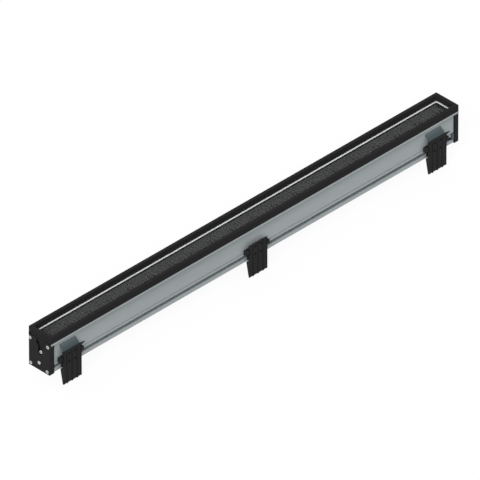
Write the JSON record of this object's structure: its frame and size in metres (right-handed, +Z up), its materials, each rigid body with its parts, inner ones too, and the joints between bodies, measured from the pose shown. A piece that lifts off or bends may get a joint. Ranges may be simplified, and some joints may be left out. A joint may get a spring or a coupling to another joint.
{
  "type": "outdoor wall washer light",
  "caption": "Slim linear outdoor light bar with a glazed top, an aluminium housing, black end caps and lever clips that slide along a side slot.",
  "frame": {"origin": "middle of the underside of the housing, where the light sits on its rail", "axes": "+X along the light towards the cable gland, +Z up through the glass, the way the light shines, and -Y the side with the clips"},
  "size_m": [1.0176, 0.0612, 0.1085],
  "materials": {
    "bare_aluminium": "anodised satin, faint draw lines along the length",
    "black_frame": "black anodised extrusion, matt",
    "black_cap": "aluminium die casting with a matt black coat",
    "black_plastic": "moulded black glass-filled plastic",
    "black_rubber": "matt",
    "white_seal": "white silicone, satin",
    "clear_glass": "clear toughened glass",
    "glare_plastic": "matt dark grey moulding",
    "lens_plastic": "clear moulding that looks dark when unlit",
    "led_yellow": "phosphor dome",
    "board_white": "white solder mask",
    "pad_rubber": "soft heat pad",
    "screw_steel": "stainless",
    "leaf_steel": "dark tempered spring steel",
    "stop_plastic": "dark grey moulding",
    "ivory_plastic": "moulded",
    "driver_case": "pale grey case",
    "wire_grey": "wire insulation",
    "wire_red": "wire insulation"
  },
  "bodies": {
    "light": {"housing": "bare_aluminium", "cover_carrier": "bare_aluminium", "rim_frame": "black_frame", "window_seal": "white_seal", "pane_gasket": "black_rubber", "glass_pane": "clear_glass", "glare_plate": "glare_plastic", "lenses": "lens_plastic", "leds": "led_yellow", "led_board_1": "board_white", "led_board_2": "board_white", "led_board_3": "board_white", "led_board_4": "board_white", "thermal_pads": "pad_rubber", "board_screws": "screw_steel", "board_links": "ivory_plastic", "driver": "driver_case", "driver_screws": "screw_steel", "terminal_block": "ivory_plastic", "terminal_screws": "screw_steel", "supply_wires": "wire_grey", "led_wires": "wire_red", "end_cap_left": "black_cap", "end_cap_right": "black_cap", "cap_gasket_left": "black_rubber", "cap_gasket_right": "black_rubber", "cap_screws_left": "screw_steel", "cap_screws_right": "screw_steel", "recess_screw": "screw_steel", "earth_screws": "screw_steel", "rim_screws": "screw_steel", "gland_body": "black_plastic", "gland_nut": "black_plastic", "gland_seal": "black_rubber", "slot_stop": "stop_plastic"},
    "clip_left": {"clip_shoe_left": "black_plastic", "clip_nut_left": "screw_steel", "clip_screws_left": "leaf_steel", "clip_pin_left": "screw_steel"},
    "lever_left": {"clip_lever_left": "black_plastic"},
    "clip_middle": {"clip_shoe_middle": "black_plastic", "clip_nut_middle": "screw_steel", "clip_screws_middle": "leaf_steel", "clip_pin_middle": "screw_steel"},
    "lever_middle": {"clip_lever_middle": "black_plastic"},
    "clip_right": {"clip_shoe_right": "black_plastic", "clip_nut_right": "screw_steel", "clip_screws_right": "leaf_steel", "clip_pin_right": "screw_steel"},
    "lever_right": {"clip_lever_right": "black_plastic"},
    "leaf_left": {"leaf_bar_left": "black_plastic", "leaf_left": "leaf_steel"},
    "leaf_right": {"leaf_bar_right": "black_plastic", "leaf_right": "leaf_steel"}
  },
  "joints": [
    {"name": "clip_left_slide", "type": "slide", "parent": "light", "child": "clip_left", "axis": [1, 0, 0], "range_m": [-0.008, 0.19]},
    {"name": "lever_left_hinge", "type": "hinge", "parent": "clip_left", "child": "lever_left", "pos_m": [-0.4532, -0.02915, 0.02], "axis": [-1, 0, 0], "range_deg": [0, 12], "stiffness_Nm_per_rad": 0.4, "springref_deg": -6.88},
    {"name": "clip_middle_slide", "type": "slide", "parent": "light", "child": "clip_middle", "axis": [1, 0, 0], "range_m": [-0.19, 0.19]},
    {"name": "lever_middle_hinge", "type": "hinge", "parent": "clip_middle", "child": "lever_middle", "pos_m": [0, -0.02915, 0.02], "axis": [-1, 0, 0], "range_deg": [0, 12]},
    {"name": "clip_right_slide", "type": "slide", "parent": "light", "child": "clip_right", "axis": [1, 0, 0], "range_m": [-0.19, 0.009]},
    {"name": "lever_right_hinge", "type": "hinge", "parent": "clip_right", "child": "lever_right", "pos_m": [0.4431, -0.02915, 0.02], "axis": [-1, 0, 0], "range_deg": [0, 12], "stiffness_Nm_per_rad": 0.4, "springref_deg": -6.88},
    {"name": "leaf_left_hinge", "type": "hinge", "parent": "lever_left", "child": "leaf_left", "pos_m": [-0.4532, -0.03145, 0.035], "axis": [-1, 0, 0], "range_deg": [-24, 0]},
    {"name": "leaf_right_hinge", "type": "hinge", "parent": "lever_right", "child": "leaf_right", "pos_m": [0.4431, -0.03145, 0.035], "axis": [-1, 0, 0], "range_deg": [-24, 0]}
  ],
  "couplings": [
    {"joint": "leaf_left_hinge", "follows": "lever_left_hinge", "ratio": -1.886},
    {"joint": "leaf_right_hinge", "follows": "lever_right_hinge", "ratio": -1.886}
  ]
}
